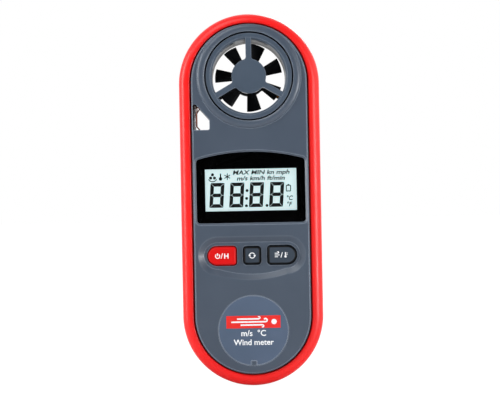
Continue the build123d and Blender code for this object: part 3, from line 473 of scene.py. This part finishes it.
def display_icons():
    """Fan, thermometer and frost signs at the top left, battery sign at the right."""
    fan, stem, frost, thin = -10.75, -8.5, -6.6, 0.26
    out, blade = 0.62, 0.44
    shapes = [dot(fan + out * np.cos(a), SIGNS_Z + out * np.sin(a), blade, 12) for a in np.radians((90, 210, 330))]
    shapes.append(band(fan, SIGNS_Z - 0.1, 1.25, thin, 205, 335, 16))
    shapes += [bar(stem, SIGNS_Z - 0.6, stem, SIGNS_Z + 0.9, 0.4), dot(stem, SIGNS_Z - 0.6, 0.5, 16)]
    for a in np.radians((30, 90, 150)):
        arm = 0.95 * np.array([np.cos(a), np.sin(a)])
        shapes.append(bar(*(frost, SIGNS_Z) - arm, *(frost, SIGNS_Z) + arm, thin))
    cell, cell_z, half, tall = 10.6, 0.25, 0.6, 0.8
    for side in (-1, 1):
        shapes.append(bar(cell + side * half, cell_z - tall, cell + side * half, cell_z + tall, thin))
        shapes.append(bar(cell - half, cell_z + side * tall, cell + half, cell_z + side * tall, thin))
    shapes.append(bar(cell - 0.25, cell_z + 1.05, cell + 0.25, cell_z + 1.05, thin))
    return shapes


def display_marks():
    """The display's pale film, which lies between its two glasses, with every segment switched on: four digits,
    points, colon, small signs and unit words."""
    low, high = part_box("lcd_rear_glass")
    middle = ((low.x + high.x) / 2, (low.z + high.z) / 2)
    film = low.y - 2 * PRINT
    ink = film - PRINT / 2
    half = (high.x - low.x) / MM / 2 - FILM_INSET
    tall = (high.z - low.z) / MM - 2 * FILM_INSET
    # the film glows with its own emission: painted light standing in for the light it reflects
    plates("display_ground", [bar(-half, 0, half, 0, tall)], middle, film, MATERIALS["reflector_film"], "housing")
    shapes = [shape for x in DIGITS_X for shape in digit(x, DIGITS_Z)]
    foot = DIGITS_Z - DIGIT_HEIGHT / 2 + POINT_R
    for x, z in ((-1.1, DIGITS_Z + 1.2), (-1.25, DIGITS_Z - 1.0), (-1.35, foot), (4.45, foot)):
        shapes.append(dot(x, z, POINT_R))
    plates("display_segments", shapes + display_icons(), middle, ink, SEGMENT, "housing")
    words = (
        # name, words, middle across and up, height, and how much wider than the face's own
        ("max_min_words", "MAX MIN kn mph", 2.9, 4.95, 1.2, 1.28),
        ("speed_unit_words", "m/s km/h ft/min", 2.8, 3.3, 1.2, 1.28),
        ("celsius_word", "°C", 10.75, -2.45, 1.25, 1.0),
        ("fahrenheit_word", "°F", 10.65, -4.2, 1.25, 1.0),
    )
    for name, text, x, z, height, squeeze in words:
        lettering(name, text, x, z, height, middle, ink, SEGMENT, "housing",
                  weight=WORD_WEIGHT, slant=WORD_SLANT, squeeze=squeeze)


# Key legends

THICK, THIN = 0.24, 0.2  # strokes of the legends


def key_face(node):
    """Middle of a key across and up, and the depth of its top less half the ink."""
    low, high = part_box(node)
    return ((low.x + high.x) / 2, (low.z + high.z) / 2), low.y - PRINT / 2


def key_legends():
    """White signs on the keys: power and hold, cycle arrows, wind and temperature."""
    middle, front = key_face("power_key")
    shapes = [band(-1.25, -0.05, 0.6, THICK, 125, 415), bar(-1.25, 0, -1.25, 0.8, THICK)]
    shapes.append(bar(-0.3, -0.75, 0.15, 0.75, THIN))
    plates("power_sign", shapes, middle, front, WHITE_INK, "power_button")
    lettering("hold_letter", "H", 1.2, 0, 1.4, middle, front, WHITE_INK, "power_button", weight=0.05)

    middle, front = key_face("unit_key")
    turn, head = 0.72, 0.36
    shapes = [band(0, 0, turn, THICK, 200, 330, 20), band(0, 0, turn, THICK, 20, 150, 20)]
    for side in (-1, 1):
        tip = side * turn
        shapes.append(np.array([(tip - head, side * 0.12), (tip + head, side * 0.12), (tip, -side * 0.5)]))
    plates("cycle_sign", shapes, middle, front, WHITE_INK, "unit_button")

    middle, front = key_face("mode_key")
    shapes = [bar(-2.1, row, -2.1 + length, row, THIN) for row, length in ((0.5, 0.92), (0.0, 1.35), (-0.5, 0.9))]
    shapes += [band(-1.2, 0.72, 0.22, THIN, -90, 150, 16), bar(-0.4, -0.75, 0.05, 0.75, THIN)]
    shapes += [bar(0.9, -0.4, 0.9, 0.75, 0.26), dot(0.9, -0.45, 0.33, 20)]
    shapes += [bar(1.18, mark, 1.5, mark, 0.16) for mark in (0.5, 0.1)]
    plates("wind_heat_sign", shapes, middle, front, WHITE_INK, "mode_button")


# Label

PRINT_DROP = 9.75        # middle of the label's print below its top
BLOCK_Z, BLOCK_HALF, BLOCK_TALL = 2.35, 7.6, 3.5
WIND_STROKE = 0.42
LABEL_WEIGHT = 0.04      # thickening of the label's words


def label_print():
    """Red block with three wind lines, and two lines of plain words under it."""
    low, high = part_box("label_disc")
    middle = (0.0, high.z - PRINT_DROP * MM)
    block = low.y - PRINT / 2
    plates("label_block", [bar(-BLOCK_HALF, BLOCK_Z, BLOCK_HALF, BLOCK_Z, BLOCK_TALL)], middle, block, RED_INK,
           "housing")
    ink = low.y - PRINT
    curl = 0.7 * WIND_STROKE
    shapes = []
    for row, start_x, end_x in ((0.85, -4.6, 1.6), (0.0, -6.2, 3.42), (-0.85, -3.6, 2.6)):
        shapes.append(bar(start_x, BLOCK_Z + row, end_x, BLOCK_Z + row, WIND_STROKE))
    shapes.append(band(1.6, BLOCK_Z + 1.15, 0.3, curl, -90, 140, 16))
    shapes.append(band(3.4, BLOCK_Z + 0.45, 0.45, WIND_STROKE, -90, 150, 20))
    shapes.append(band(2.6, BLOCK_Z - 1.15, 0.3, curl, 90, -140, 16))
    shapes.append(dot(5.8, BLOCK_Z, 0.75))
    plates("label_wind_sign", shapes, middle, ink, WHITE_INK, "housing")
    lettering("label_units", "m/s  °C", 0, -0.75, 1.65, middle, ink, WHITE_INK, "housing",
              weight=LABEL_WEIGHT)
    lettering("label_words", "Wind meter", 0, -3.3, 1.6, middle, ink, WHITE_INK, "housing",
              weight=LABEL_WEIGHT)


# Studio

WHITE = (1.0, 1.0, 1.0, 1.0)
FIBRE = 2 * MM           # fibres of the floor paper, drawn coarse so that they show
GLOW = 0.97              # light of the floor's own, to the eye only, that makes it as white as its surroundings


def floor_paper():
    """Paper of the floor: white to the eye out to the horizon, and pale grey to the object."""
    material, tree, shader, place = start("pale_floor_paper", {"Base Color": linear("#d0d0d0"), "Roughness": 0.9})
    fibre = add(tree, "TexNoise", {**SOFT, "Scale": 1 / FIBRE, "Detail": 3.0}, {"Vector": place})
    bump = add(tree, "Bump", {"Strength": 0.3, "Distance": 0.02 * MM}, {"Height": fibre.outputs[0]})
    tree.links.new(bump.outputs[0], shader.inputs["Normal"])
    glow = add(tree, "Emission", {"Color": WHITE, "Strength": GLOW})
    lit = add(tree, "BsdfDiffuse", {"Color": linear("#6a6a6a")})
    white = add(tree, "AddShader", links={0: glow.outputs[0], 1: lit.outputs[0]})
    first = add(tree, "LightPath").outputs["Is Camera Ray"]
    mix = add(tree, "MixShader", links={0: first, 1: shader.outputs[0], 2: white.outputs[0]})
    output = next(node for node in tree.nodes if node.bl_idname == "ShaderNodeOutputMaterial")
    tree.links.new(mix.outputs[0], output.inputs["Surface"])
    return material


def floor_plane():
    """Large square floor just under the object."""
    reach = 4.0
    level = cad_low.z - 0.2 * MM
    mesh = bpy.data.meshes.new("floor")
    mesh.from_pydata([(-reach, -reach, level), (reach, -reach, level), (reach, reach, level),
                      (-reach, reach, level)], [], [(0, 1, 2, 3)])
    mesh.materials.append(floor_paper())
    floor = bpy.data.objects.new("floor", mesh)
    bpy.context.scene.collection.objects.link(floor)


def surroundings():
    """World: white behind the object, grey beside it and dark on the camera's side, so that the display pane
    stays black and the casing's round edges catch light."""
    world = bpy.data.worlds.new("studio")
    bpy.context.scene.world = world
    world.use_nodes = True
    tree = world.node_tree
    tree.nodes.clear()
    away = add(tree, "SeparateXYZ", links={0: add(tree, "TexCoord").outputs["Generated"]}).outputs["Y"]
    level = add(tree, "MapRange", {"From Min": -0.9, "From Max": 0.1, "To Min": 0.05, "To Max": 0.9},
                {"Value": away})
    wall = add(tree, "Background", {"Color": WHITE}, {"Strength": level.outputs[0]})
    seen = add(tree, "Background", {"Color": WHITE, "Strength": 1.0})
    first = add(tree, "LightPath").outputs["Is Camera Ray"]
    mix = add(tree, "MixShader", links={0: first, 1: wall.outputs[0], 2: seen.outputs[0]})
    add(tree, "OutputWorld", links={"Surface": mix.outputs[0]})


def soft_box(name, place, width, height, power):
    """Rectangular soft light that faces the middle of the object."""
    middle = (cad_low + cad_high) / 2
    light = bpy.data.lights.new(name, "AREA")
    light.shape = "RECTANGLE"
    light.size, light.size_y = width, height
    light.energy = power
    lamp = bpy.data.objects.new(name, light)
    lamp.location = place
    lamp.rotation_euler = (middle - Vector(place)).to_track_quat("-Z", "Y").to_euler()
    bpy.context.scene.collection.objects.link(lamp)


def camera():
    """Long lens straight in front, level with the object's middle, rolled a degree."""
    middle = (cad_low + cad_high) / 2
    aside, down, distance = -0.31 * MM, 0.09 * MM, 500.7 * MM
    roll = 1.08
    lens = bpy.data.cameras.new("camera")
    lens.sensor_width = 36
    lens.lens = 126.45
    lens.clip_start, lens.clip_end = 0.05, 20
    holder = bpy.data.objects.new("camera", lens)
    holder.location = (middle.x + aside, -distance, middle.z - down)
    holder.rotation_euler = (radians(90), radians(roll), 0)
    bpy.context.scene.collection.objects.link(holder)
    bpy.context.scene.camera = holder


def studio():
    """Pale floor, white surroundings, soft boxes and the camera."""
    bpy.context.scene.view_settings.view_transform = "Standard"
    floor_plane()
    surroundings()
    soft_box("key_box", (-0.28, -0.62, 0.62), 0.5, 0.5, 2.5)
    soft_box("fill_box", (0.42, -0.60, 0.10), 0.3, 0.4, 1.1)
    soft_box("left_strip", (-0.60, -0.22, 0.08), 0.25, 0.7, 3.6)
    soft_box("right_strip", (0.60, -0.10, 0.08), 0.25, 0.7, 0.6)
    soft_box("low_box", (0.34, -0.30, 0.035), 0.16, 0.06, 0.55)
    soft_box("rear_box", (0.30, 0.80, 0.60), 0.5, 0.5, 5.0)
    camera()


dress_cad_nodes()
red_frame()
display_marks()
key_legends()
label_print()
studio()
